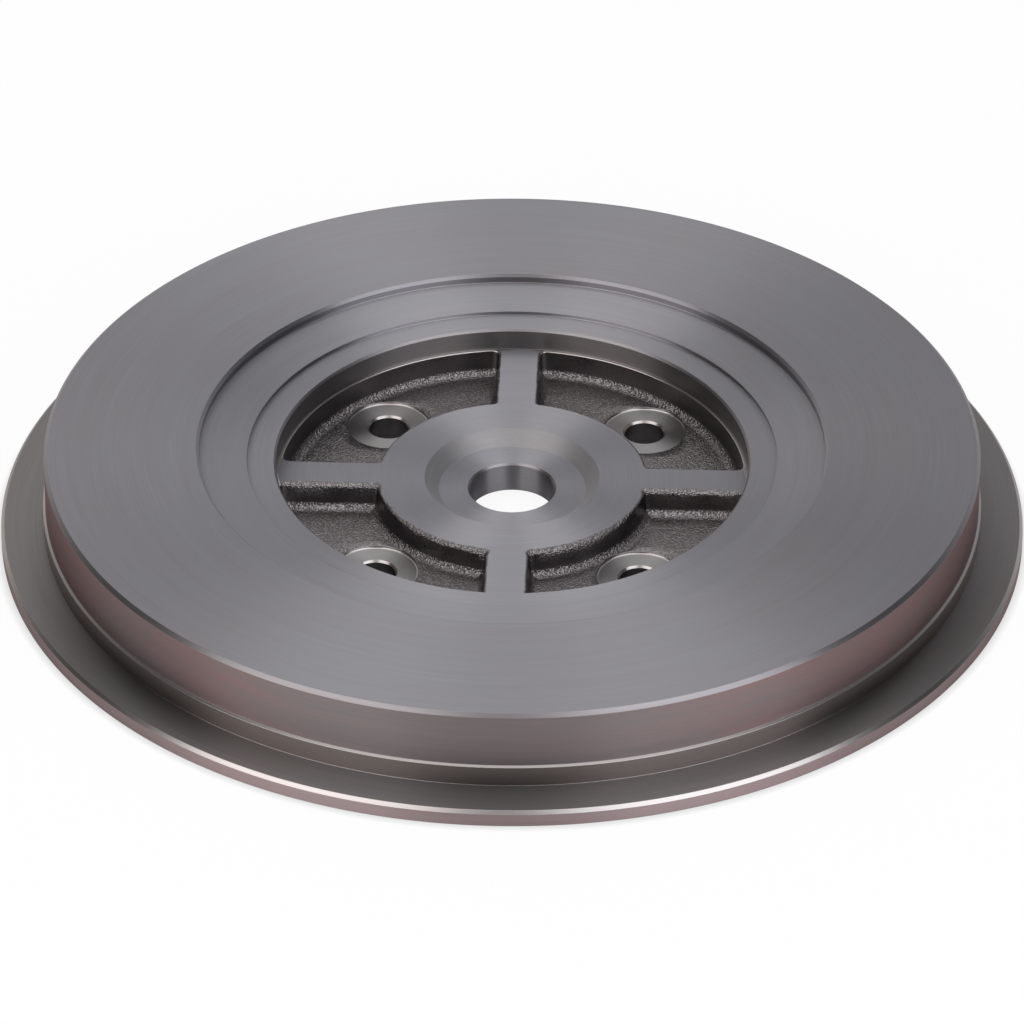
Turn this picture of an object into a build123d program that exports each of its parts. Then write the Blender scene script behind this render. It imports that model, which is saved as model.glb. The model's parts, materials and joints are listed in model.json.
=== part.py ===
from build123d import *
from math import radians, tan
import os

# Turbo back plate: one grey iron casting, turned on its front, its rims and its mating faces.
# The compressor wheel runs in the round recess of the front face, the compressor housing slides over
# the drum and clamps the flange, and four screws in the cast pockets hold the bearing housing.
# The frame: +Z is the shaft axis and points out of the front face. The origin is on that axis, in the
# plane of the underside that the plate rests on, and heights are measured up from there.
# All lengths are millimetres, and angles are degrees.

# Drum, and the flange that stands out from its foot
drum_diameter = 200.6
drum_edge_chamfer = 0.8
flange_width = 9.7
flange_thickness = 3.5
flange_chamfer = 0.7

# The housing slides over the drum down to a small sloping ledge, below which the drum is wider
ledge_height = 8.2
ledge_step = 0.55
ledge_fall = 0.3

# Wheel recess in the front face, with a flat ring and then a shallow conical seat round its mouth
recess_diameter = 101.46
recess_depth = 9.0
recess_edge_chamfer = 0.45
ring_width = 6.17
ring_depth = 4.03
seat_width = 10.2
seat_fall = 1.19
seat_depth = 1.98
seat_edge_chamfer = 0.6

# Hub, with a cone-walled dish round the shaft bore
hub_diameter = 57.8
dish_diameter = 37.64
dish_floor_diameter = 31.56
dish_depth = 2.85
bore_diameter = 18.26
bore_chamfer = 0.42

# Cross of spokes and the four cast pockets between them
spoke_count = 4
spoke_width = 8.7
pocket_depth = 5.9
pocket_floor_thickness = 5.8
pocket_wall_ledge = 0.6
pocket_corner_radius = 2.6
pocket_draft = 4.0
pocket_foot_fillet = 1.9

# Screws to the bearing housing, one in the middle of each pocket, with a spot face under each head
bolt_circle_diameter = 79.2
bolt_hole_diameter = 8.4
bolt_edge_chamfer = 0.45
spot_face_diameter = 18.2
spot_face_depth = 0.5

# Underside: a flat pad with the register of the bearing housing, and a cast relief round it
register_diameter = 50.0
register_depth = 2.05
pad_diameter = 126.0
rim_wall = 10.0
web_thickness = 9.0
relief_draft = 5.0

# Radii that follow from the sizes above
drum_radius = drum_diameter / 2
lower_drum_radius = drum_radius + ledge_step
flange_radius = drum_radius + flange_width
recess_radius = recess_diameter / 2
ring_radius = recess_radius + ring_width
seat_radius = ring_radius + seat_width
pocket_radius = recess_radius - pocket_wall_ledge
hub_radius = hub_diameter / 2
dish_radius = dish_diameter / 2
dish_floor_radius = dish_floor_diameter / 2
bore_radius = bore_diameter / 2
register_radius = register_diameter / 2
pad_radius = pad_diameter / 2
bolt_circle_radius = bolt_circle_diameter / 2
bolt_hole_radius = bolt_hole_diameter / 2
spot_face_radius = spot_face_diameter / 2
relief_outer_radius = drum_radius - rim_wall

# Heights above the underside that follow from them: the iron left under the pockets carries the rest
plate_height = pocket_floor_thickness + pocket_depth + recess_depth
seat_z = plate_height - seat_depth
seat_inner_z = seat_z - seat_fall
ring_z = plate_height - ring_depth
hub_z = plate_height - recess_depth
dish_z = hub_z - dish_depth
pocket_z = hub_z - pocket_depth
spot_face_z = pocket_z - spot_face_depth
relief_top_z = plate_height - web_thickness
relief_lean = relief_top_z * tan(radians(relief_draft))

# The sand cores that leave the four pockets: the ring round the hub, less the spokes, drawn in by
# the draft of the casting and rounded at the foot, where the walls run into the pocket's floor
with BuildPart() as pocket_cores:
    with BuildSketch(Plane.XY.offset(hub_z)) as pocket_outline:
        Circle(pocket_radius)
        Circle(hub_radius, mode=Mode.SUBTRACT)
        with PolarLocations(0, spoke_count):
            Rectangle(recess_diameter, spoke_width, align=(Align.MIN, Align.CENTER), mode=Mode.SUBTRACT)
        fillet(pocket_outline.vertices(), radius=pocket_corner_radius)
    extrude(amount=-pocket_depth, taper=pocket_draft)
    pocket_feet = pocket_cores.faces().group_by(Axis.Z)[0].edges()
    fillet(pocket_feet, radius=pocket_foot_fillet)

# The turned blank: half of its section, from the bore outwards along the front and back underneath
with BuildPart() as back_plate:
    with BuildSketch(Plane.XZ) as section:
        with BuildLine():
            Polyline(
                (bore_radius, register_depth),
                (bore_radius, dish_z - bore_chamfer),
                (bore_radius + bore_chamfer, dish_z),
                (dish_floor_radius, dish_z),
                (dish_radius, hub_z),
                (recess_radius, hub_z),
                (recess_radius, ring_z - recess_edge_chamfer),
                (recess_radius + recess_edge_chamfer, ring_z),
                (ring_radius, ring_z),
                (ring_radius, seat_inner_z),
                (seat_radius, seat_z),
                (seat_radius, plate_height - seat_edge_chamfer),
                (seat_radius + seat_edge_chamfer, plate_height),
                (drum_radius - drum_edge_chamfer, plate_height),
                (drum_radius, plate_height - drum_edge_chamfer),
                (drum_radius, ledge_height),
                (lower_drum_radius, ledge_height - ledge_fall),
                (lower_drum_radius, flange_thickness),
                (flange_radius - flange_chamfer, flange_thickness),
                (flange_radius, flange_thickness - flange_chamfer),
                (flange_radius, 0),
                (relief_outer_radius, 0),
                (relief_outer_radius - relief_lean, relief_top_z),
                (pad_radius + relief_lean, relief_top_z),
                (pad_radius, 0),
                (register_radius, 0),
                (register_radius, register_depth),
                close=True,
            )
        make_face()
    revolve(axis=Axis.Z)

    add(pocket_cores.part, mode=Mode.SUBTRACT)

    # The clearance holes, with a spot face that cuts a little into the pocket's floor and its foot
    with Locations(Plane.XY.offset(hub_z)):
        with PolarLocations(bolt_circle_radius, spoke_count, start_angle=180 / spoke_count):
            CounterBoreHole(bolt_hole_radius, spot_face_radius, hub_z - spot_face_z)
    spot_face_edges = back_plate.edges().filter_by(GeomType.CIRCLE).filter_by_position(
        Axis.Z, spot_face_z, spot_face_z
    )
    hole_rims = spot_face_edges.filter_by(lambda edge: edge.radius < spot_face_radius)
    chamfer(hole_rims, length=bolt_edge_chamfer)

back_plate.part.label = "back_plate"
os.makedirs("parts", exist_ok=True)
export_step(back_plate.part, "parts/back_plate.step")
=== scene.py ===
import json
from math import cos, pi, radians, sin, tan

import bmesh
import bpy
import numpy as np
from mathutils import Matrix, Vector


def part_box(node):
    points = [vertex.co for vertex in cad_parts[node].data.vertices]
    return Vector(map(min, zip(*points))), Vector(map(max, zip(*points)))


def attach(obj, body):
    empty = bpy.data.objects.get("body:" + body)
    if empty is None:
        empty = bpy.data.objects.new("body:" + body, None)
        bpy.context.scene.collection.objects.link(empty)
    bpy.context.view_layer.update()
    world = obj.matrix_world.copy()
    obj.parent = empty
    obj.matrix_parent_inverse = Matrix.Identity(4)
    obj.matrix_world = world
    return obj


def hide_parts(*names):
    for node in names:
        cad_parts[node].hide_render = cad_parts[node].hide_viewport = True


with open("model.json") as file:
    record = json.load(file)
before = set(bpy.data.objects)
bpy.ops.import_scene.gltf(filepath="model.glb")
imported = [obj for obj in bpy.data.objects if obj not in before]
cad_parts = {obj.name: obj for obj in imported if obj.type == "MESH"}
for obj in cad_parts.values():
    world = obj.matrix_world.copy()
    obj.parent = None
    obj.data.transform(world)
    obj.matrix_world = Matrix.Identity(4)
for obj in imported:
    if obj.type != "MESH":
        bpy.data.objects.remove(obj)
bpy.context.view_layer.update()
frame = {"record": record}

# The back plate is one grey iron casting. The front, the rims, the bore and the mating faces are turned,
# and the pockets and the relief underneath keep the skin of the sand mould.
# Its mesh is one closed surface: two turned sections, joined by a sheet round each of the four screws.
mm = 0.001
mounts = {mount["name"]: mount["dims"] for mount in frame["record"]["mounts"]}
plate_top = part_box("back_plate")[1]
plate_height = plate_top.z / mm
flange_radius = plate_top.x / mm
drum_radius = mounts["drum_pilot"]["r_mm"]
register_radius = mounts["rear_register"]["r_mm"]
register_depth = mounts["rear_register"]["length_mm"]
bore_radius = mounts["shaft_bore"]["r_mm"]
bolt_hole_radius = mounts["screw_circle"]["hole_r_mm"]
bolt_circle_radius = mounts["screw_circle"]["pcd_mm"] / 2

# Drum, ledge and flange
drum_edge_chamfer = 0.8
ledge_height = 8.2
ledge_step = 0.55
ledge_fall = 0.3
flange_thickness = 3.5
flange_chamfer = 0.7

# Seat, ring and wheel recess
recess_radius = 50.73
recess_depth = 9.0
recess_edge_chamfer = 0.45
ring_width = 6.17
ring_depth = 4.03
seat_width = 10.2
seat_fall = 1.19
seat_depth = 1.98
seat_edge_chamfer = 0.6
ring_radius = recess_radius + ring_width
seat_radius = ring_radius + seat_width
seat_z = plate_height - seat_depth
seat_inner_z = seat_z - seat_fall
ring_z = plate_height - ring_depth
hub_z = plate_height - recess_depth

# Hub, dish and bore
hub_radius = 28.9
dish_radius = 18.82
dish_floor_radius = 15.78
dish_depth = 2.85
dish_z = hub_z - dish_depth
bore_chamfer = 0.42

# Pockets, with their spot faces
pocket_depth = 5.9
pocket_wall_ledge = 0.6
pocket_corner_radius = 2.6
pocket_foot_fillet = 1.9
pocket_draft = radians(4.0)
pocket_z = hub_z - pocket_depth
pocket_radius = recess_radius - pocket_wall_ledge
spoke_width = 8.7
spot_face_radius = 9.1
spot_face_depth = 0.5
spot_face_z = pocket_z - spot_face_depth
spot_edge_chamfer = 0.1
spot_wall_height = 0.38
bolt_edge_chamfer = 0.45

# Underside
pad_radius = 63.0
rim_wall = 10.0
relief_draft = radians(5.0)
relief_outer_radius = drum_radius - rim_wall
relief_top_z = hub_z
relief_lean = relief_top_z * tan(relief_draft)

# How round the edges are: what the turning tool leaves, and what the mould leaves. The pockets' lips
# are wide on the walls that face the front, and narrower on the others and beside the recess wall
tool_edge = 0.07
tool_foot = 0.18
spot_foot = 0.35
cast_foot = 3.2
cast_lip = 0.5
wide_lip = 0.95
side_lip = 0.35
narrow_lip = 0.22

# How far each section reaches past its last edge, to where a sheet joins it
recess_margin = 0.16
dish_margin = 0.5
hole_margin = 0.6
underside_margin = 1.0


def rounded_section(corners, radii, steps=3, hold=0.03):
    """A section as an array of points (radius, height). Each inner corner gives way to an arc that
    touches both runs: it begins radius / tan(half the corner's angle) from the corner, and turns about
    a centre radius / sin(half the angle) from it in equal steps. One more point stands a little way out
    on each run, so that smooth shading leaves the runs flat."""
    corners = np.array(corners, float)
    radii = np.array(radii, float)[:, None]
    here = corners[1:-1]
    back = corners[:-2] - here
    back = back / np.linalg.norm(back, axis=1, keepdims=True)
    ahead = corners[2:] - here
    ahead = ahead / np.linalg.norm(ahead, axis=1, keepdims=True)
    half_angle = np.arccos((back * ahead).sum(axis=1, keepdims=True)) / 2
    middle = (back + ahead) / np.linalg.norm(back + ahead, axis=1, keepdims=True)
    centre = here + middle * radii / np.sin(half_angle)
    reach = radii / np.tan(half_angle)
    first = here + back * reach - centre
    last = here + ahead * reach - centre
    turn = np.arctan2(first[:, 0] * last[:, 1] - first[:, 1] * last[:, 0], (first * last).sum(axis=1))
    angle = turn[:, None] * np.linspace(0, 1, steps + 1)
    across = first[:, :1] * np.cos(angle) - first[:, 1:] * np.sin(angle)
    along = first[:, :1] * np.sin(angle) + first[:, 1:] * np.cos(angle)
    arcs = centre[:, None] + np.stack([across, along], axis=-1)
    before = (here + back * (reach + hold))[:, None]
    after = (here + ahead * (reach + hold))[:, None]
    rounds = np.concatenate([before, arcs, after], axis=1).reshape(-1, 2)
    return np.concatenate([corners[:1], rounds, corners[-1:]])


def run_length(section):
    """How far along a section each of its points lies: the sum of the distances between its points."""
    steps = np.hypot(*np.diff(section, axis=0).T)
    return np.concatenate([[0], np.cumsum(steps)])


# The outer section runs from the hub's plane up the recess wall, over the drum's face, down its wall and
# round the flange, and through the relief underneath to the edge of the pad
outer_corners = [
    (recess_radius - recess_margin, hub_z),
    (recess_radius, hub_z),
    (recess_radius, ring_z - recess_edge_chamfer),
    (recess_radius + recess_edge_chamfer, ring_z),
    (ring_radius, ring_z),
    (ring_radius, seat_inner_z),
    (seat_radius, seat_z),
    (seat_radius, plate_height - seat_edge_chamfer),
    (seat_radius + seat_edge_chamfer, plate_height),
    (drum_radius - drum_edge_chamfer, plate_height),
    (drum_radius, plate_height - drum_edge_chamfer),
    (drum_radius, ledge_height),
    (drum_radius + ledge_step, ledge_height - ledge_fall),
    (drum_radius + ledge_step, flange_thickness),
    (flange_radius - flange_chamfer, flange_thickness),
    (flange_radius, flange_thickness - flange_chamfer),
    (flange_radius, 0),
    (relief_outer_radius, 0),
    (relief_outer_radius - relief_lean, relief_top_z),
    (pad_radius + relief_lean, relief_top_z),
    (pad_radius, 0),
    (pad_radius - underside_margin, 0),
]
recess_radii = [tool_edge, tool_edge, tool_edge, tool_foot, tool_edge, tool_foot]
drum_radii = [tool_edge] * 10
relief_radii = [cast_lip, cast_foot, cast_foot, cast_lip]
outer_radii = recess_radii + drum_radii + relief_radii
outer_section = rounded_section(outer_corners, outer_radii)

# The inner section runs from the hub's plane down the dish and the bore, and out to the register's edge
inner_corners = [
    (dish_radius + dish_margin, hub_z),
    (dish_radius, hub_z),
    (dish_floor_radius, dish_z),
    (bore_radius + bore_chamfer, dish_z),
    (bore_radius, dish_z - bore_chamfer),
    (bore_radius, register_depth),
    (register_radius, register_depth),
    (register_radius, 0),
    (register_radius + underside_margin, 0),
]
inner_radii = [tool_edge, tool_foot, tool_edge, tool_edge, tool_edge, tool_foot, tool_edge]
inner_section = rounded_section(inner_corners, inner_radii)

# Round each screw, a section runs from the underside up the hole and over the spot face to its wall
screw_corners = [
    (bolt_hole_radius + hole_margin, 0),
    (bolt_hole_radius, 0),
    (bolt_hole_radius, spot_face_z - bolt_edge_chamfer),
    (bolt_hole_radius + bolt_edge_chamfer, spot_face_z),
    (spot_face_radius, spot_face_z),
    (spot_face_radius, spot_face_z + spot_wall_height),
]
screw_section = rounded_section(screw_corners, [tool_edge, tool_edge, tool_edge, spot_foot], hold=0.02)

# The foot of the pocket's wall, by how far it stands in from the pocket's outline: down the drafted
# wall and round the fillet to the floor
wall_foot = (hub_z - pocket_z) * tan(pocket_draft)
foot_corners = [(0, hub_z), (wall_foot, pocket_z), (pocket_corner_radius, pocket_z)]
foot_section = rounded_section(foot_corners, [pocket_foot_fillet], steps=9, hold=0.02)[1:]
lip_end = pi / 2 - pocket_draft
lip_steps = 8

# One quarter of the hub has a pocket in its middle, at angle 0 in the quarter's own frame, and ends at
# the middles of two spokes, at 45 degrees each way. Half a quarter is divided so
arc_steps_inner = 16
arc_steps_outer = 36
corner_steps = 16
side_steps = 14
quarter_end = pi / 4

core_inner = hub_radius + pocket_corner_radius
core_outer = pocket_radius - pocket_corner_radius
core_side = spoke_width / 2 + pocket_corner_radius
arc_end_inner = quarter_end - np.arcsin(core_side / core_inner)
arc_end_outer = quarter_end - np.arcsin(core_side / core_outer)


def ray(angle):
    """The unit vector that points at that angle, or the array of them."""
    return np.stack([np.cos(angle), np.sin(angle)], axis=-1)


def both_halves(upper):
    """The whole loop from its upper half, which starts and ends on the quarter's middle line: the same
    points follow in reverse order with the sign of their second value changed."""
    lower = upper[-2:0:-1] * np.array([1, -1])
    return np.concatenate([upper, lower])


def pocket_outline():
    """The pocket's outline as (core, inward, squareness): each of its points is the core point less the
    corner radius times the squareness times the inward normal. The core is the outline's sector, drawn
    in by the corner radius, and at its corners it stands still while the normal turns. There the
    squareness is 1 / (cos t ^ 4 + sin t ^ 4) ^ (1/4), for t from 0 to a right angle, and elsewhere 1."""
    inner_angle = np.linspace(0, arc_end_inner, arc_steps_inner, endpoint=False)
    outer_angle = np.linspace(arc_end_outer, 0, arc_steps_outer + 1)
    side_normal = quarter_end - pi / 2
    first_turn = np.linspace(arc_end_inner, side_normal, corner_steps, endpoint=False)
    last_turn = np.linspace(side_normal, arc_end_outer - pi, corner_steps, endpoint=False)
    inner_corner = core_inner * ray(arc_end_inner)
    outer_corner = core_outer * ray(arc_end_outer)
    share = np.linspace(0, 1, side_steps, endpoint=False)[:, None]
    core = np.concatenate([
        core_inner * ray(inner_angle),
        np.tile(inner_corner, (corner_steps, 1)),
        inner_corner + (outer_corner - inner_corner) * share,
        np.tile(outer_corner, (corner_steps, 1)),
        core_outer * ray(outer_angle),
    ])
    inward = np.concatenate([
        ray(inner_angle),
        ray(first_turn),
        np.tile(ray(side_normal), (side_steps, 1)),
        ray(last_turn),
        -ray(outer_angle),
    ])
    corner_turn = np.linspace(0, pi / 2, corner_steps, endpoint=False)
    in_corner = (np.cos(corner_turn) ** 4 + np.sin(corner_turn) ** 4) ** -0.25
    squareness = np.concatenate([
        np.ones(arc_steps_inner),
        in_corner,
        np.ones(side_steps),
        in_corner,
        np.ones(arc_steps_outer + 1),
    ])
    return both_halves(core), both_halves(inward), np.append(squareness, squareness[-2:0:-1])


def quarter_angles(arc_end, arc_steps):
    """The angles from a quarter's middle line to its end: even steps to where the pocket's arc ends,
    and then even steps over the rest."""
    on_arc = np.linspace(0, arc_end, arc_steps, endpoint=False)
    beyond = np.linspace(arc_end, quarter_end, corner_steps // 2 + 1)
    return np.concatenate([on_arc, beyond])


inner_angles = quarter_angles(arc_end_inner, arc_steps_inner)
outer_angles = quarter_angles(arc_end_outer, arc_steps_outer)


def quarter_border(inner_radius, outer_radius):
    """The border of a quarter between two radii, as a loop of polar points (radius, angle) that keeps
    step with the pocket's outline."""
    side_count = side_steps + corner_steps
    side = np.linspace(inner_radius, outer_radius, side_count + 1)[1:-1]
    inner_arc = np.full(len(inner_angles), inner_radius)
    outer_arc = np.full(len(outer_angles), outer_radius)
    radius = np.concatenate([inner_arc, side, outer_arc])
    angle = np.concatenate([inner_angles, np.full(len(side), quarter_end), outer_angles[::-1]])
    return both_halves(np.stack([radius, angle], axis=-1))


def whole_turn(half_quarter):
    """The angles all round the plate: each quarter's from its start to its end, for the four quarters,
    and the first one again at the end."""
    quarter = np.concatenate([-half_quarter[:0:-1], half_quarter[:-1]]) + quarter_end
    turns = np.arange(4)[:, None] * pi / 2
    return np.append((quarter + turns).ravel(), quarter[0] + 2 * pi)


def turned(section, angles):
    """A section turned about the shaft axis. The point at radius r and height z stands at
    (r cos a, r sin a, z) for each angle a. The lay map has a / 2 pi and the length along the section."""
    radius = section[:, :1]
    height = section[:, 1:]
    places = np.broadcast_arrays(radius * np.cos(angles), radius * np.sin(angles), height)
    along = run_length(section)[:, None] * mm
    lay = np.broadcast_arrays(angles / (2 * pi), along)
    return np.stack(places, axis=-1), np.stack(lay, axis=-1)


def pocket_lip(radius, wander, hold=0.02):
    """The lip of the pocket's wall, for a lip radius and a wander that change round the loop. It turns
    through the angle a from the hub's plane to the wall: it stands radius (sin a - tan(last a / 2)) in
    from the outline and radius (1 - cos a) below the plane, and takes on the wander as it goes down.
    One more row lies a little way out on the plane, and one on the wall."""
    turn = np.linspace(0, lip_end, lip_steps + 1)[:, None]
    depth = radius * (np.sin(turn) - tan(lip_end / 2)) + wander * (1 - np.cos(turn))
    drop = radius * (1 - np.cos(turn))
    flat = depth[:1] - hold
    below = drop[-1:] + hold
    wall = below * tan(pocket_draft) + wander
    return np.concatenate([flat, depth, wall]), hub_z - np.concatenate([0 * flat, drop, below])


def screw_angles(outline, far_start):
    """The direction from the screw's axis to the circle's point for each point of the outline's upper
    half, which is on the far side of the screw from far_start on. Within 8 degrees of the middle line
    the circle's point lies on the outline's own normal, which is the ray from the shaft axis, and
    between them the direction keeps step with the outline's length."""
    widest_ray = radians(8)
    angle = np.arctan2(outline[:, 1], outline[:, 0])
    near_half = np.arange(len(outline)) < far_start
    sweep = np.sqrt(np.maximum(0, spot_rim_radius**2 - (bolt_circle_radius * np.sin(angle)) ** 2))
    reach = bolt_circle_radius * np.cos(angle) + np.where(near_half, -sweep, sweep)
    direct = np.arctan2(reach * np.sin(angle), reach * np.cos(angle) - bolt_circle_radius)
    length = run_length(outline)
    on_ray = (np.abs(angle) < widest_ray) & (direct >= 0)
    return np.interp(length, length[on_ray], direct[on_ray])


spot_rim_radius = spot_face_radius + spot_edge_chamfer
core, inward, squareness = pocket_outline()
outward_reach = -squareness[:, None] * inward
half_count = len(core) // 2
outline = core + pocket_corner_radius * outward_reach
far_start = arc_steps_inner + corner_steps + side_steps // 2
upper_directions = screw_angles(outline[:half_count + 1], far_start)
screw_direction = both_halves(np.stack([np.ones(half_count + 1), upper_directions], axis=-1))[:, 1]
screw_axis = np.array([bolt_circle_radius, 0])
spot_rim = screw_axis + spot_rim_radius * ray(screw_direction)
floor_steps = 6

# What the sand does to a pocket: its walls wander by slow waves round the loop, and its lips are uneven
# by fast ones. Both die down towards the recess wall, which is turned. A wall faces the front by the
# part of its normal that points there
slow_counts = np.array([2, 3, 5, 8, 13, 19])
fast_counts = np.array([23, 31, 43, 59, 71])
first_seed = 3
wall_wander = 0.11
lip_unevenness = 0.3
recess_calm = 0.8
calm_start = 3
calm_length = 2.8
facing_start = 0.25
facing_length = 0.5
by_recess = np.clip((np.linalg.norm(outline, axis=1) - pocket_radius + calm_start) / calm_length, 0, 1)


def loop_waves(counts, random):
    """How a cast edge wanders from its true line, between -1 and 1: the mean of sine waves round the
    loop, each with its own count and a phase drawn at random."""
    angle = np.linspace(0, 2 * pi, len(core), endpoint=False)
    phases = random.uniform(0, 2 * pi, len(counts))
    return np.sin(counts * angle[:, None] + phases).mean(axis=-1)


def cast_walls(quarter, turn):
    """How the sand leaves the walls of one pocket, at each point of its outline. The wander, which is
    how far the wall stands in from its true line, is the wall wander times (1 + the slow waves), less
    by the recess. The lip's radius goes from the side lip's to the wide lip's as the wall turns to the
    front, and to the narrow lip's by the recess. The fast waves make it uneven."""
    random = np.random.default_rng(first_seed + quarter)
    slow_waves = loop_waves(slow_counts, random)
    fast_waves = loop_waves(fast_counts, random)
    to_front = -(inward @ np.array([sin(turn), cos(turn)]))
    by_front = np.clip((to_front - facing_start) / facing_length, 0, 1)
    wander = wall_wander * (1 + slow_waves) * (1 - recess_calm * by_recess)
    lip_radius = side_lip + (wide_lip - side_lip) * by_front
    lip_radius = lip_radius + (narrow_lip - lip_radius) * by_recess
    lip_radius = lip_radius * (1 + lip_unevenness * fast_waves * (1 - by_recess))
    return wander, lip_radius


def pocket_rows(wander, lip_radius):
    """The rows of a pocket's floor, and those of its foot, wall and lip. A wall point stands at
    core + (corner radius - depth) outward reach, at the height that the foot's section has at that
    depth. The floor's points lie at even shares of the way from the spot face's rim to the foot. Where
    the spot face cuts into the foot, the depths past the steep part shrink to leave a gap to its rim,
    and the heights are read from the section again."""
    steep_end = wall_foot + 0.1
    rim_gap = 0.1
    lip_depth, lip_height = pocket_lip(lip_radius, wander)
    to_rim = np.linalg.norm(outline - spot_rim, axis=1) - wander
    depth = foot_section[:-1, :1]
    room = np.minimum(1, (to_rim - steep_end - rim_gap) / (depth[-1] - steep_end))
    depth = np.where(depth > steep_end, steep_end + (depth - steep_end) * room, depth)
    height = np.concatenate([lip_height, np.interp(depth, *foot_section.T)])
    from_outline = np.concatenate([lip_depth, depth + wander])
    wall = core + (pocket_corner_radius - from_outline[..., None]) * outward_reach
    wall_rows = np.concatenate([wall, height[..., None]], axis=-1)[::-1]

    share = np.linspace(0, 1, floor_steps, endpoint=False)[:, None, None]
    floor_plan = spot_rim + (wall[-1] - spot_rim) * share
    floor_depth = to_rim + (depth[-1] - to_rim) * share[..., 0]
    floor_height = np.interp(floor_depth, *foot_section.T)
    floor_rows = np.concatenate([floor_plan, floor_height[..., None]], axis=-1)
    return floor_rows, wall_rows


def screw_rows(rim_height):
    """The rows of a hole and its spot face: the screw's section turned about the screw's axis, in the
    directions that keep step with the pocket's outline, and last the top of the spot face's wall,
    which follows the floor."""
    radius = np.append(screw_section[:, 0], spot_face_radius)[:, None, None]
    plan = screw_axis + radius * ray(screw_direction)
    height = np.broadcast_to(screw_section[:, 1:], (len(screw_section), len(core)))
    height = np.concatenate([height, rim_height])
    return np.concatenate([plan, height[..., None]], axis=-1)


def border_row(end, height):
    """The border of a quarter at that height, as one row of points, between the radii that the inner
    and the outer section have at that end."""
    radius, angle = quarter_border(inner_section[end, 0], outer_section[end, 0]).T
    plan = radius[:, None] * ray(angle)
    return np.concatenate([plan, np.full((len(core), 1), height)], axis=-1)[None]


# Of the rows of a quarter's sheet, the first is the border underneath, and the screw's end before this one
screw_end = len(screw_section) + 2


def quarter_lay(sheet, turn):
    """The lay map of a quarter's sheet: the angle about the shaft axis / 2 pi and the distance from it,
    and on the screw's rows the direction from the screw's axis / 2 pi and the length along its section
    and the rest of the spot face's wall."""
    rest_of_wall = 0.3
    angle = np.arctan2(sheet[..., 1], sheet[..., 0]) + turn
    radius = np.hypot(sheet[..., 0], sheet[..., 1])
    lay = np.stack([angle / (2 * pi), radius * mm], axis=-1)
    length = run_length(screw_section)
    length = np.append(length, length[-1] + rest_of_wall)
    lay[1:screw_end, :, 0] = np.unwrap(screw_direction) / (2 * pi)
    lay[1:screw_end, :, 1] = length[:, None] * mm
    lay = np.concatenate([lay, lay[:, :1]], axis=1)
    lay[1:screw_end, -1, 0] -= 1
    return lay


# The finishes, in the order in which their materials are put on the plate
FACED, CAST, RECESS, WALL, FOOT, FLANGE, RIM, BORE, SPOT, DRILLED_PAINTED_DARK, DISH, EDGE, WORN_AND_PAINTED_BRIGHT_EDGE = range(13)

# How near to a size the middle of a run is, where it belongs to the face of that size
near = 0.05
very_near = 0.02


def quarter_finish(row_count):
    """The finish of each face of a quarter's sheet. The pocket is cast, and the hole is drilled, its wall
    painted dark for the shade in it. The hole's rim, the spot face's foot and the lip by the recess wall
    are worn, and brighter than bare iron as a painted highlight, and the rest is turned."""
    worn_from = 0.9
    finish = np.full((row_count, len(core)), FACED)
    run_radius = (screw_section[1:, 0] + screw_section[:-1, 0]) / 2
    screw_finish = np.full(len(run_radius), SPOT)
    screw_finish[run_radius < bolt_hole_radius + bolt_edge_chamfer] = WORN_AND_PAINTED_BRIGHT_EDGE
    screw_finish[run_radius > spot_face_radius - spot_foot] = WORN_AND_PAINTED_BRIGHT_EDGE
    screw_finish[run_radius < bolt_hole_radius + very_near] = DRILLED_PAINTED_DARK
    finish[1:len(screw_section)] = screw_finish[:, None]
    finish[screw_end:-1] = CAST
    finish[-1] = RECESS
    finish[-1 - lip_steps:, by_recess > worn_from] = WORN_AND_PAINTED_BRIGHT_EDGE
    return finish


def section_finish(section):
    """The finish of each run of a section, by where its middle is. The relief underneath is cast. The
    drum's wall ends at the ledge, over its foot, and the flange has one finish on its face and another
    on its rim. The wheel recess, its wall, the shaft bore and the dish's cone have theirs. A run that
    rises by enough of its length, but not nearly by all, is a slope: a worn edge on the flange and the
    ledge, brighter than bare iron as a painted highlight, and a cut edge elsewhere, but for the dish's
    cone and the seat's chamfer. The rest is faced."""
    least_rise = 0.3
    most_rise = 0.95
    radius, height = (section[1:] + section[:-1]).T / 2
    finish = np.full(len(radius), FACED)
    finish[(radius < seat_radius) & (height > register_depth)] = RECESS
    in_relief = (radius > pad_radius) & (radius < relief_outer_radius) & (height < relief_top_z + near)
    finish[in_relief] = CAST
    on_wall = radius > drum_radius - near
    finish[on_wall] = WALL
    finish[on_wall & (height < ledge_height - ledge_fall)] = FOOT
    on_flange = (radius > drum_radius + ledge_step + tool_foot) & (height > flange_thickness - near)
    finish[on_flange] = FLANGE
    on_underside = (radius > relief_outer_radius) & (height < near)
    finish[(radius > flange_radius - near) | on_underside] = RIM
    finish[radius < bore_radius + near] = BORE
    finish[np.abs(radius - recess_radius) < very_near] = FLANGE

    rise = np.abs(np.diff(section[:, 1])) / np.hypot(*np.diff(section, axis=0).T)
    is_slope = (rise > least_rise) & (rise < most_rise) & (finish != CAST)
    finish[is_slope] = EDGE
    finish[is_slope & (radius > dish_floor_radius - near) & (radius < dish_radius + near)] = DISH
    finish[is_slope & (radius > drum_radius + near)] = WORN_AND_PAINTED_BRIGHT_EDGE
    from_seat_chamfer = np.abs(radius - seat_radius - seat_edge_chamfer / 2)
    finish[is_slope & (from_seat_chamfer < seat_edge_chamfer / 3)] = FACED
    return finish


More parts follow.
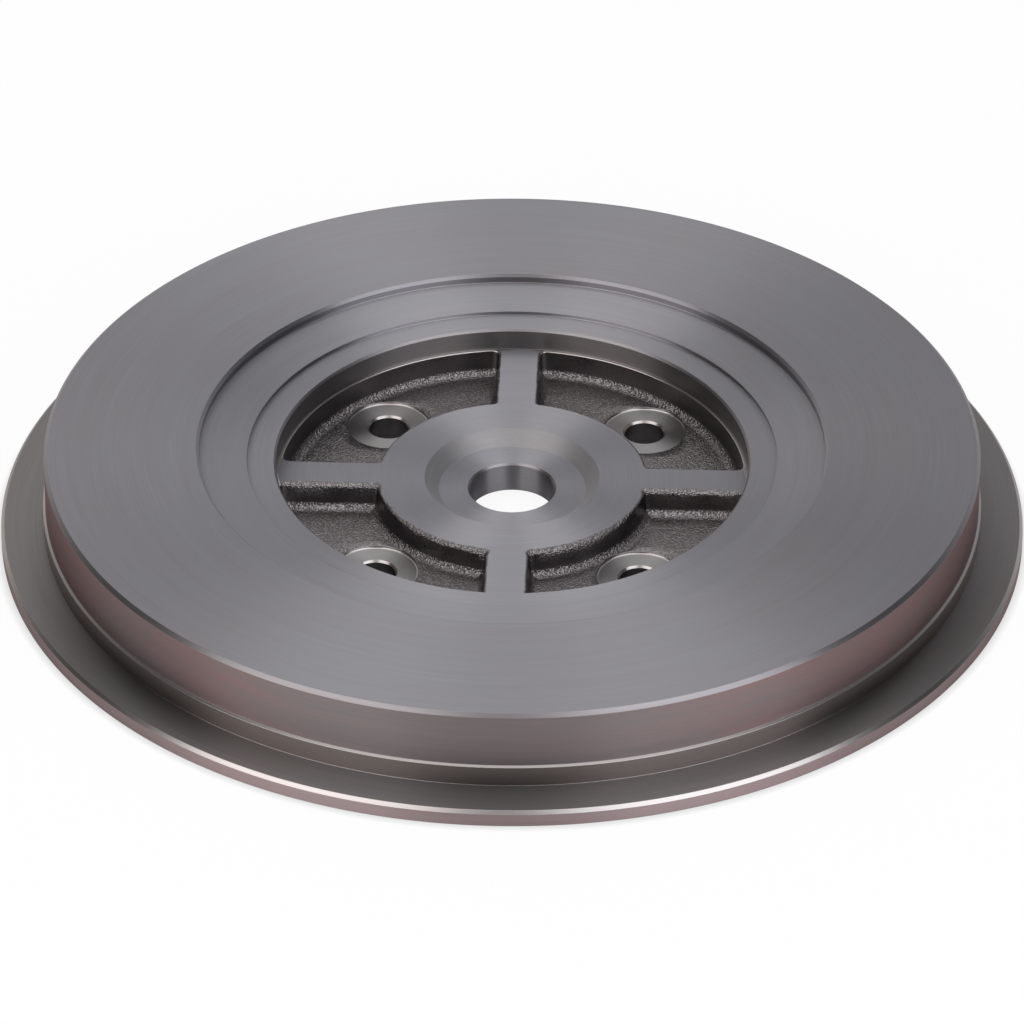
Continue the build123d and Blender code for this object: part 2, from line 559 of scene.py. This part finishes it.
def quarter_sheet(quarter):
    """The sheet of one quarter, in rows of loops that keep step: the border of the pad underneath, the
    hole and its spot face, the pocket's floor, its foot, wall and lip, and the border of the hub. It is
    worked out in the quarter's own frame and turned to its place. Gives the points, their lay and the
    finish of each face."""
    turn = quarter_end + quarter * pi / 2
    floor_rows, wall_rows = pocket_rows(*cast_walls(quarter, turn))
    rim_height = floor_rows[:1, :, 2] - spot_edge_chamfer
    sheet = np.concatenate([
        border_row(-1, 0),
        screw_rows(rim_height),
        floor_rows,
        wall_rows,
        border_row(0, hub_z),
    ])
    plan = sheet[..., :2] @ np.array([ray(turn), ray(turn + pi / 2)])
    points = np.concatenate([plan, sheet[..., 2:]], axis=-1)
    closed = np.concatenate([points, points[:, :1]], axis=1)
    return closed, quarter_lay(sheet, turn), quarter_finish(len(sheet) - 1)


def sheet_faces(shape, first):
    """The four-cornered faces of a grid of points, numbered row by row from the first."""
    index = first + np.arange(shape[0] * shape[1]).reshape(shape[:2])
    return np.stack([index[:-1, :-1], index[:-1, 1:], index[1:, 1:], index[1:, :-1]], axis=-1)


def joined_mesh(name, sheets):
    """One closed mesh from sheets of (points in mm, lay, finish of each row or face). The points that
    two sheets share are merged, and the faces are then turned outwards."""
    points, lays, faces, finishes = [], [], [], []
    count = 0
    for sheet_points, lay, finish in sheets:
        quads = sheet_faces(sheet_points.shape, count)
        points.append(sheet_points.reshape(-1, 3))
        lays.append(lay.reshape(-1, 2))
        faces.append(quads.reshape(-1, 4))
        finishes.append(np.broadcast_to(finish.reshape(len(finish), -1), quads.shape[:2]).ravel())
        count += sheet_points.shape[0] * sheet_points.shape[1]
    faces = np.concatenate(faces)
    mesh = bpy.data.meshes.new(name)
    mesh.from_pydata(np.concatenate(points) * mm, [], faces.tolist())
    mesh.uv_layers.new(name="lay").data.foreach_set("uv", np.concatenate(lays)[faces.ravel()].ravel())
    mesh.polygons.foreach_set("material_index", np.concatenate(finishes))
    mesh.polygons.foreach_set("use_smooth", np.ones(len(faces), bool))
    shell = bmesh.new()
    shell.from_mesh(mesh)
    bmesh.ops.remove_doubles(shell, verts=shell.verts, dist=1e-6)
    bmesh.ops.recalc_face_normals(shell, faces=shell.faces)
    shell.to_mesh(mesh)
    shell.free()
    return mesh


sheets = [
    (*turned(outer_section, whole_turn(outer_angles)), section_finish(outer_section)),
    (*turned(inner_section, whole_turn(inner_angles)), section_finish(inner_section)),
]
sheets += [quarter_sheet(quarter) for quarter in range(4)]
plate_mesh = joined_mesh("turned_back_plate", sheets)
plate = bpy.data.objects.new("turned_back_plate", plate_mesh)
bpy.context.scene.collection.objects.link(plate)


def put(tree, kind, sockets=(), **settings):
    """A new node of that kind. Settings are its own options. Sockets are pairs of an input and either
    its value or the output that feeds it."""
    node = tree.nodes.new("ShaderNode" + kind)
    for name, value in settings.items():
        setattr(node, name, value)
    for socket, value in sockets:
        if isinstance(value, bpy.types.NodeSocket):
            tree.links.new(value, node.inputs[socket])
        else:
            node.inputs[socket].default_value = value
    return node


def math_node(tree, operation, *values):
    """The output of a math node with these values or outputs as its inputs, in order."""
    return put(tree, "Math", enumerate(values), operation=operation).outputs[0]


def ramp(tree, value, low, high, to_low, to_high):
    """A value carried from the range low to high to another range, held at its ends."""
    sockets = [("Value", value), ("From Min", low), ("From Max", high)]
    sockets += [("To Min", to_low), ("To Max", to_high)]
    return put(tree, "MapRange", sockets).outputs[0]


def mix_colours(tree, share, first, second):
    """The first colour where the share is 0, and the second where it is 1. The inputs of this node
    have the same names for numbers and colours, so the colours' own go by their places."""
    return put(tree, "Mix", [(0, share), (6, first), (7, second)], data_type="RGBA").outputs[2]


def new_group(name, inputs, outputs):
    """A shader node group with named inputs, each with its kind and default, and named value outputs.
    Gives the group's tree, and its input and output nodes."""
    tree = bpy.data.node_groups.new(name, "ShaderNodeTree")
    for socket, kind, default in inputs:
        made = tree.interface.new_socket(socket, in_out="INPUT", socket_type="NodeSocket" + kind)
        if default is not None:
            made.default_value = default
    for socket in outputs:
        tree.interface.new_socket(socket, in_out="OUTPUT", socket_type="NodeSocketFloat")
    return tree, tree.nodes.new("NodeGroupInput"), tree.nodes.new("NodeGroupOutput")


def turning_marks_group():
    """Marks that follow the lay: noise over (W cos 2 pi u, W sin 2 pi u, v / pitch), where the lay map
    gives the turn u and the length v along the section. It changes fast across the lay and slowly along
    it. Fine is the tool's feed, and Broad are the wider bands that a worn edge leaves."""
    band_scale = 0.12
    group, given, result = new_group(
        "turning_marks",
        [("Lay", "Vector", None), ("Pitch", "Float", 0.0002), ("Wander", "Float", 2.5)],
        ["Fine", "Broad"],
    )
    lay = put(group, "SeparateXYZ", [("Vector", given.outputs["Lay"])])
    angle = math_node(group, "MULTIPLY", lay.outputs["X"], 2 * pi)
    east = math_node(group, "MULTIPLY", math_node(group, "COSINE", angle), given.outputs["Wander"])
    north = math_node(group, "MULTIPLY", math_node(group, "SINE", angle), given.outputs["Wander"])
    across = math_node(group, "DIVIDE", lay.outputs["Y"], given.outputs["Pitch"])
    fine_place = put(group, "CombineXYZ", [("X", east), ("Y", north), ("Z", across)])
    fine = put(group, "TexNoise", [("Vector", fine_place.outputs[0]), ("Scale", 1.0), ("Detail", 2.0)])
    slow = math_node(group, "MULTIPLY", across, band_scale)
    broad_place = put(group, "CombineXYZ", [("X", east), ("Y", north), ("Z", slow)])
    broad = put(group, "TexNoise", [("Vector", broad_place.outputs[0]), ("Scale", 1.0), ("Detail", 3.0)])
    group.links.new(fine.outputs["Fac"], result.inputs["Fine"])
    group.links.new(broad.outputs["Fac"], result.inputs["Broad"])
    return group


def iron_clouds_group():
    """Slow and fine mottling of the iron, from noise over the place on the piece: Cloud for stains and
    handling, and Pits for the graphite that the tool pulls out of the surface."""
    group, given, result = new_group(
        "iron_clouds",
        [("Place", "Vector", None), ("Cloud Size", "Float", 0.045), ("Pit Size", "Float", 0.0006)],
        ["Cloud", "Pits"],
    )
    cloud_scale = math_node(group, "DIVIDE", 1.0, given.outputs["Cloud Size"])
    pit_scale = math_node(group, "DIVIDE", 1.0, given.outputs["Pit Size"])
    place = given.outputs["Place"]
    cloud = put(group, "TexNoise", [("Vector", place), ("Scale", cloud_scale), ("Detail", 4.0)])
    pits = put(group, "TexNoise", [("Vector", place), ("Scale", pit_scale), ("Detail", 3.0)])
    group.links.new(cloud.outputs["Fac"], result.inputs["Cloud"])
    group.links.new(pits.outputs["Fac"], result.inputs["Pits"])
    return group


turning_marks = turning_marks_group()
iron_clouds = iron_clouds_group()


def new_material(name):
    """An empty material with a Principled shader on its output. Gives it, its tree and the shader."""
    material = bpy.data.materials.new(name)
    material.use_nodes = True
    tree = material.node_tree
    tree.nodes.clear()
    shader = put(tree, "BsdfPrincipled")
    tree.links.new(shader.outputs["BSDF"], put(tree, "OutputMaterial").inputs["Surface"])
    return material, tree, shader


# The drum's wall is rubbed at its front: most in the middle, and less and less to where that ends
rubbed_middle = -0.98 * drum_radius * mm
rubbed_end = -0.84 * drum_radius * mm


def turned_iron(name, colour, film, film_share, roughness, spread, pitch, bump, grazing=1.0,
                mottle=0.02, rubbed=0.0):
    """Turned iron. Streaks along the lay and stains shift the colour between the bare iron and a thin
    film on it, of which the rubbed share is gone at the front. The bands and the pits shift the
    roughness by the mottle about its middle value. The highlight is drawn out across the lay, and the
    film dims what the iron mirrors at grazing angles to the grazing value."""
    material, tree, shader = new_material(name)
    lay = put(tree, "UVMap", uv_map="lay").outputs["UV"]
    place = put(tree, "TexCoord").outputs["Object"]
    marks = put(tree, "Group", [("Lay", lay), ("Pitch", pitch)], node_tree=turning_marks).outputs
    clouds = put(tree, "Group", [("Place", place)], node_tree=iron_clouds).outputs

    streaks = ramp(tree, marks["Broad"], 0.3, 0.7, 0.0, 1.0)
    stains = ramp(tree, clouds["Cloud"], 0.35, 0.7, 0.0, 1.0)
    film_mask = math_node(tree, "MULTIPLY", math_node(tree, "ADD", streaks, stains), film_share / 2)
    towards_back = put(tree, "SeparateXYZ", [("Vector", place)]).outputs["Y"]
    unrubbed = ramp(tree, towards_back, rubbed_middle, rubbed_end, 1 - rubbed, 1.0)
    film_mask = math_node(tree, "MULTIPLY", film_mask, unrubbed)
    toned = mix_colours(tree, film_mask, (*colour, 1), (*film, 1))
    shade = ramp(tree, marks["Fine"], 0.3, 0.7, 0.96, 1.04)
    shaded = put(tree, "VectorMath", [("Vector", toned), ("Scale", shade)], operation="SCALE")
    tree.links.new(shaded.outputs[0], shader.inputs["Base Color"])

    uneven = math_node(tree, "ADD", marks["Broad"], clouds["Pits"])
    mottled = ramp(tree, uneven, 0.7, 1.3, roughness - mottle, roughness + mottle)
    tree.links.new(mottled, shader.inputs["Roughness"])
    half_pits = math_node(tree, "MULTIPLY", clouds["Pits"], 0.5)
    height = math_node(tree, "ADD", marks["Fine"], half_pits)
    relief = put(tree, "Bump", [("Height", height), ("Distance", bump)])
    tree.links.new(relief.outputs["Normal"], shader.inputs["Normal"])
    tangent = put(tree, "Tangent", direction_type="UV_MAP", uv_map="lay")
    tree.links.new(tangent.outputs["Tangent"], shader.inputs["Tangent"])
    shader.inputs["Metallic"].default_value = 1.0
    shader.inputs["Specular Tint"].default_value = (grazing, grazing, grazing, 1)
    shader.inputs["Anisotropic"].default_value = spread
    shader.inputs["Anisotropic Rotation"].default_value = 0.25
    return material


def cast_iron():
    """The skin that the sand leaves: lumps of the size of the grains, some of them larger, on dark iron
    that is rubbed a little brighter on the grains that stand out. They are smeared on the steep walls,
    where the core is drawn, and lower on the flats than on the lips and feet between. The brightness of
    the grains follows that facing too: a painted shade on the walls and, less, on the flats, and a
    painted highlight on the lips and feet."""
    dark = (0.13, 0.12, 0.12, 1)
    # The grains' bright colour: rubbed iron, and by facing a painted highlight on the lips and feet
    rubbed_and_painted_bright = (0.37, 0.345, 0.35, 1)
    grain_size = 0.0004
    pit_size = 0.0005
    stain_size = 0.004
    relief_depth = 0.00022
    material, tree, shader = new_material("cast_skin")
    place = put(tree, "TexCoord").outputs["Object"]
    sizes = [("Place", place), ("Cloud Size", stain_size), ("Pit Size", pit_size)]
    clouds = put(tree, "Group", sizes, node_tree=iron_clouds).outputs
    grains = put(tree, "TexVoronoi", [("Vector", place), ("Scale", 1 / grain_size)], feature="F1")
    lumps = math_node(tree, "SUBTRACT", 1.0, grains.outputs["Distance"])
    height = math_node(tree, "ADD", clouds["Pits"], math_node(tree, "MULTIPLY", lumps, 0.6))

    facing = put(tree, "SeparateXYZ", [("Vector", put(tree, "NewGeometry").outputs["Normal"])])
    level = math_node(tree, "ABSOLUTE", facing.outputs["Z"])
    off_wall = ramp(tree, level, 0.12, 0.4, 0.12, 1.0)
    off_flat = ramp(tree, level, 0.8, 0.97, 1.0, 0.62)
    strength = math_node(tree, "MULTIPLY", off_wall, off_flat)
    bump = [("Height", height), ("Strength", strength), ("Distance", relief_depth)]
    relief = put(tree, "Bump", bump)
    tree.links.new(relief.outputs["Normal"], shader.inputs["Normal"])

    # The grains' colour follows the facing: painted shade on the steep walls and less on the flats, and a
    # painted highlight on the lips and feet
    crest_and_painted_facing = math_node(tree, "MULTIPLY", ramp(tree, height, 0.7, 1.1, 0.0, 1.0), strength)
    tree.links.new(mix_colours(tree, crest_and_painted_facing, dark, rubbed_and_painted_bright), shader.inputs["Base Color"])
    gloss = ramp(tree, clouds["Cloud"], 0.3, 0.7, 0.26, 0.4)
    tree.links.new(gloss, shader.inputs["Roughness"])
    shader.inputs["Metallic"].default_value = 1.0
    return material


# One material for each finish, in the order of the finishes' names
plate_materials = [
    turned_iron(
        "faced_iron", colour=(0.254, 0.258, 0.28), film=(0.26, 0.244, 0.254), film_share=1.0,
        roughness=0.38, spread=0.9, pitch=0.00022, bump=0.000002,
    ),
    cast_iron(),
    turned_iron(
        "recess_iron", colour=(0.287, 0.288, 0.311), film=(0.289, 0.279, 0.292), film_share=1.0,
        roughness=0.42, spread=0.93, pitch=0.00022, bump=0.000002,
    ),
    turned_iron(
        "wall_iron", colour=(0.206, 0.186, 0.184), film=(0.288, 0.168, 0.167), film_share=0.95,
        roughness=0.34, spread=0.9, pitch=0.0003, bump=0.000003, grazing=0.4, rubbed=0.75,
    ),
    turned_iron(
        "foot_iron", colour=(0.196, 0.174, 0.16), film=(0.182, 0.148, 0.138), film_share=0.8,
        roughness=0.36, spread=0.9, pitch=0.0003, bump=0.000003, grazing=0.85,
    ),
    turned_iron(
        "flange_iron", colour=(0.216, 0.209, 0.216), film=(0.222, 0.202, 0.185), film_share=0.8,
        roughness=0.36, spread=0.9, pitch=0.0003, bump=0.000003, grazing=0.85,
    ),
    turned_iron(
        "rim_iron", colour=(0.325, 0.265, 0.262), film=(0.30, 0.212, 0.215), film_share=0.8,
        roughness=0.4, spread=0.9, pitch=0.0003, bump=0.000003, grazing=0.45,
    ),
    turned_iron(
        "honed_bore", colour=(0.26, 0.25, 0.262), film=(0.23, 0.223, 0.229), film_share=0.3,
        roughness=0.4, spread=1.0, pitch=0.00015, bump=0.000001,
    ),
    turned_iron(
        "spot_iron", colour=(0.285, 0.275, 0.275), film=(0.26, 0.248, 0.245), film_share=0.6,
        roughness=0.44, spread=0.8, pitch=0.00022, bump=0.000002,
    ),
    # The drilled hole's colour is a painted shade: far darker than the iron, for the shade inside the hole
    turned_iron(
        "drilled_hole", colour=(0.085, 0.08, 0.08), film=(0.05, 0.045, 0.045), film_share=0.8,
        roughness=0.5, spread=0.6, pitch=0.00025, bump=0.000004,
    ),
    turned_iron(
        "dish_iron", colour=(0.315, 0.307, 0.31), film=(0.30, 0.29, 0.29), film_share=0.5,
        roughness=0.6, spread=0.4, pitch=0.00022, bump=0.000002,
    ),
    turned_iron(
        "cut_edge", colour=(0.265, 0.25, 0.255), film=(0.25, 0.23, 0.235), film_share=0.5,
        roughness=0.37, spread=0.5, pitch=0.0003, bump=0.000001, grazing=0.75,
    ),
    # The worn edge is bare iron, and its colour is lifted further as a painted highlight on the edges
    turned_iron(
        "worn_edge", colour=(0.46, 0.43, 0.415), film=(0.41, 0.38, 0.36), film_share=0.5,
        roughness=0.29, spread=0.3, pitch=0.0003, bump=0.0000001, grazing=0.5, mottle=0.003,
    ),
]
for material in plate_materials:
    plate_mesh.materials.append(material)

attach(plate, "root")
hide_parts("back_plate")

# The floor is a pale plain sheet that the plate stands on. It shows white to the camera and in the
# metal, and keeps a part of the plate's soft shadow. Under the plate its glow is taken out, a painted
# shadow that fades back in just past the flange and also shows in the metal, and under the bore it
# glows white to the camera, a painted light.
floor_reach = 6
shown_glow = 0.92
mirrored_glow = 0.55
# The painted shadow lies under the plate and fades out between these two radii
painted_shadow_radius = (flange_radius - 6) * mm
painted_shadow_end = (flange_radius + 2) * mm
floor_mesh = bpy.data.meshes.new("floor")
floor_corners = [
    (-floor_reach, -floor_reach, 0),
    (floor_reach, -floor_reach, 0),
    (floor_reach, floor_reach, 0),
    (-floor_reach, floor_reach, 0),
]
floor_mesh.from_pydata(floor_corners, [], [(0, 1, 2, 3)])
floor = bpy.data.objects.new("floor", floor_mesh)
bpy.context.scene.collection.objects.link(floor)
floor_material, floor_tree, floor_shader = new_material("pale_floor")
floor_shader.inputs["Base Color"].default_value = (0.85, 0.85, 0.85, 1)
floor_shader.inputs["Roughness"].default_value = 0.9
floor_place = put(floor_tree, "TexCoord").outputs["Object"]
from_axis = put(floor_tree, "VectorMath", [(0, floor_place)], operation="LENGTH").outputs["Value"]
# Painted shadow: the floor's glow goes from full just past the flange to none under the plate
outside_painted_shadow = ramp(floor_tree, from_axis, painted_shadow_radius, painted_shadow_end, 0.0, 1.0)
# Painted light: under the bore the floor glows white for the camera, though the plate shades it
painted_bore_light = math_node(floor_tree, "LESS_THAN", from_axis, register_radius * mm)
painted_shade_and_light_glow = math_node(floor_tree, "MAXIMUM", outside_painted_shadow, painted_bore_light)
glow = put(floor_tree, "Emission", [("Color", (1, 1, 1, 1)), ("Strength", painted_shade_and_light_glow)])
light_path = put(floor_tree, "LightPath").outputs
mirrored = math_node(floor_tree, "MAXIMUM", light_path["Is Glossy Ray"], light_path["Is Transmission Ray"])
# The painted shadow also takes the glow out of what the metal mirrors near the plate
mirrored = math_node(floor_tree, "MULTIPLY", mirrored, outside_painted_shadow)
mirrored = math_node(floor_tree, "MULTIPLY", mirrored, mirrored_glow)
seen = math_node(floor_tree, "MAXIMUM", light_path["Is Camera Ray"], mirrored)
glow_share = math_node(floor_tree, "MULTIPLY", seen, shown_glow)
blend = put(floor_tree, "MixShader", [(0, glow_share), (1, floor_shader.outputs[0]), (2, glow.outputs[0])])
floor_output = floor_tree.nodes["Material Output"]
floor_tree.links.new(blend.outputs[0], floor_output.inputs["Surface"])
floor_mesh.materials.append(floor_material)

# The studio: a dim room with a bright skirting all round and a brighter wall behind, a little warmer
# on the left and cooler on the right. Two large soft boxes stand in front on both sides, a third hangs
# overhead, and a small one stands behind on the left.
room_glow = 0.04
skirting_glow = 0.95
wall_glow = 0.55
left_colour = (1.08, 1.04, 1.02, 1)
right_colour = (0.96, 0.98, 1.03, 1)
world = bpy.data.worlds.new("studio")
bpy.context.scene.world = world
world.use_nodes = True
room_tree = world.node_tree
room = room_tree.nodes["Background"]
around = put(room_tree, "TexCoord").outputs["Generated"]
direction = put(room_tree, "SeparateXYZ", [("Vector", around)]).outputs
skirting = ramp(room_tree, direction["Z"], 0.02, 0.1, skirting_glow, room_glow)
wall_behind = ramp(room_tree, direction["Y"], 0.3, 0.85, 0.0, wall_glow)
room_light = math_node(room_tree, "ADD", skirting, wall_behind)
room_tree.links.new(room_light, room.inputs["Strength"])
to_right = ramp(room_tree, direction["X"], -0.7, 0.7, 0.0, 1.0)
room_colour = mix_colours(room_tree, to_right, left_colour, right_colour)
room_tree.links.new(room_colour, room.inputs["Color"])


def towards(turn, rise):
    """The unit vector (sin turn cos rise, -cos turn cos rise, sin rise). Turn 0 is straight to the
    plate's front and a quarter turn to its right, and the rise is the angle above the floor."""
    return Vector((sin(turn) * cos(rise), -cos(turn) * cos(rise), sin(rise)))


def soft_box(name, azimuth, elevation, distance, width, height, radiance, tint=(1, 1, 1)):
    """A rectangular lamp that faces the plate's middle from that direction, in degrees. Its power is
    radiance * area * pi, so that it shows with that brightness."""
    lamp = bpy.data.lights.new(name, "AREA")
    lamp.shape = "RECTANGLE"
    lamp.size = width
    lamp.size_y = height
    lamp.energy = radiance * width * height * pi
    lamp.color = tint
    holder = bpy.data.objects.new(name, lamp)
    outward = towards(radians(azimuth), radians(elevation))
    holder.location = outward * distance
    holder.rotation_euler = outward.to_track_quat("Z", "Y").to_euler()
    bpy.context.scene.collection.objects.link(holder)


soft_box(
    "box_left", azimuth=-45, elevation=29, distance=1.8, width=1.6, height=1.75,
    radiance=2.35, tint=(1.02, 0.99, 1.0),
)
soft_box(
    "box_right", azimuth=45, elevation=29, distance=1.8, width=1.6, height=1.75,
    radiance=2.6, tint=(0.98, 0.99, 1.04),
)
soft_box("box_overhead", azimuth=180, elevation=84, distance=1.9, width=1.8, height=2.9, radiance=1.35)
soft_box("box_behind", azimuth=-155, elevation=27, distance=0.75, width=0.5, height=0.5, radiance=0.35)

# The camera stands where the photograph was taken from, by the fit of the plate's circles: a long lens,
# 34 degrees up and nearly straight in front, aimed a little below the drum's face.
camera_distance = 1.473384
camera_rise = radians(33.534)
camera_turn = radians(1.9)
camera_roll = radians(0.13)
focal_pixels = 6875.7
image_pixels = 1024
face_row = 441.5
camera_data = bpy.data.cameras.new("camera")
camera_data.sensor_width = 36
camera_data.lens = focal_pixels * camera_data.sensor_width / image_pixels
aim_down = np.arctan2(image_pixels / 2 - face_row, focal_pixels)
camera = bpy.data.objects.new("camera", camera_data)
face_middle = Vector((0, 0, plate_height * mm))
stand = Matrix.Translation(face_middle + towards(camera_turn, camera_rise) * camera_distance)
pan = Matrix.Rotation(camera_turn, 4, "Z")
tilt = Matrix.Rotation(pi / 2 - camera_rise - aim_down, 4, "X")
camera.matrix_world = stand @ pan @ tilt @ Matrix.Rotation(camera_roll, 4, "Z")
bpy.context.scene.collection.objects.link(camera)
bpy.context.scene.camera = camera
bpy.context.scene.view_settings.view_transform = "Standard"
